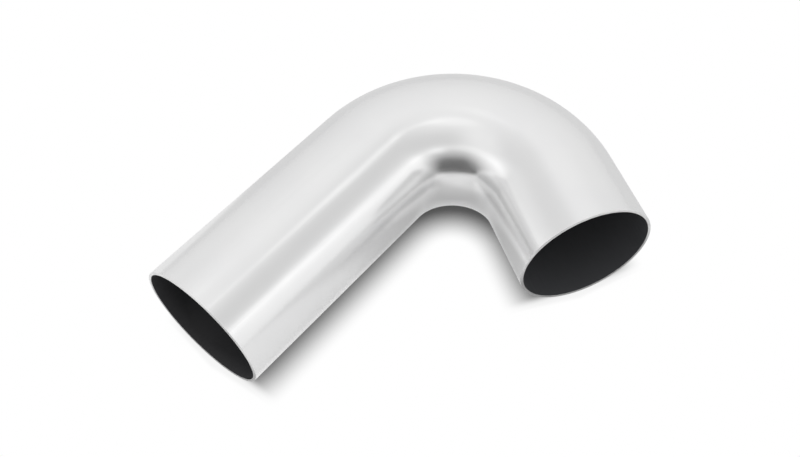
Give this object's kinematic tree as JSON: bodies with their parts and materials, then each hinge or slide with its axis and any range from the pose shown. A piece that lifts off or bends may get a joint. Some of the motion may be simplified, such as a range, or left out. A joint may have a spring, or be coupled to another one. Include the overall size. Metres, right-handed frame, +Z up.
{
  "type": "mandrel bend tube",
  "caption": "Thin-walled aluminium tube bent on a mandrel into a tight J, with a long and a short straight leg, both cut square.",
  "frame": {"origin": "centre of the long leg's mouth, in the plane of its cut end", "axes": "+X runs down the long leg into the bend, the bend turns towards -Y, and +Z is up from the surface that the tube lies on"},
  "size_m": [0.2301, 0.1844, 0.0762],
  "materials": {
    "tube_metal": "satin, drawn and lightly polished"
  },
  "bodies": {
    "root": {"bent_tube": "tube_metal"}
  },
  "joints": []
}
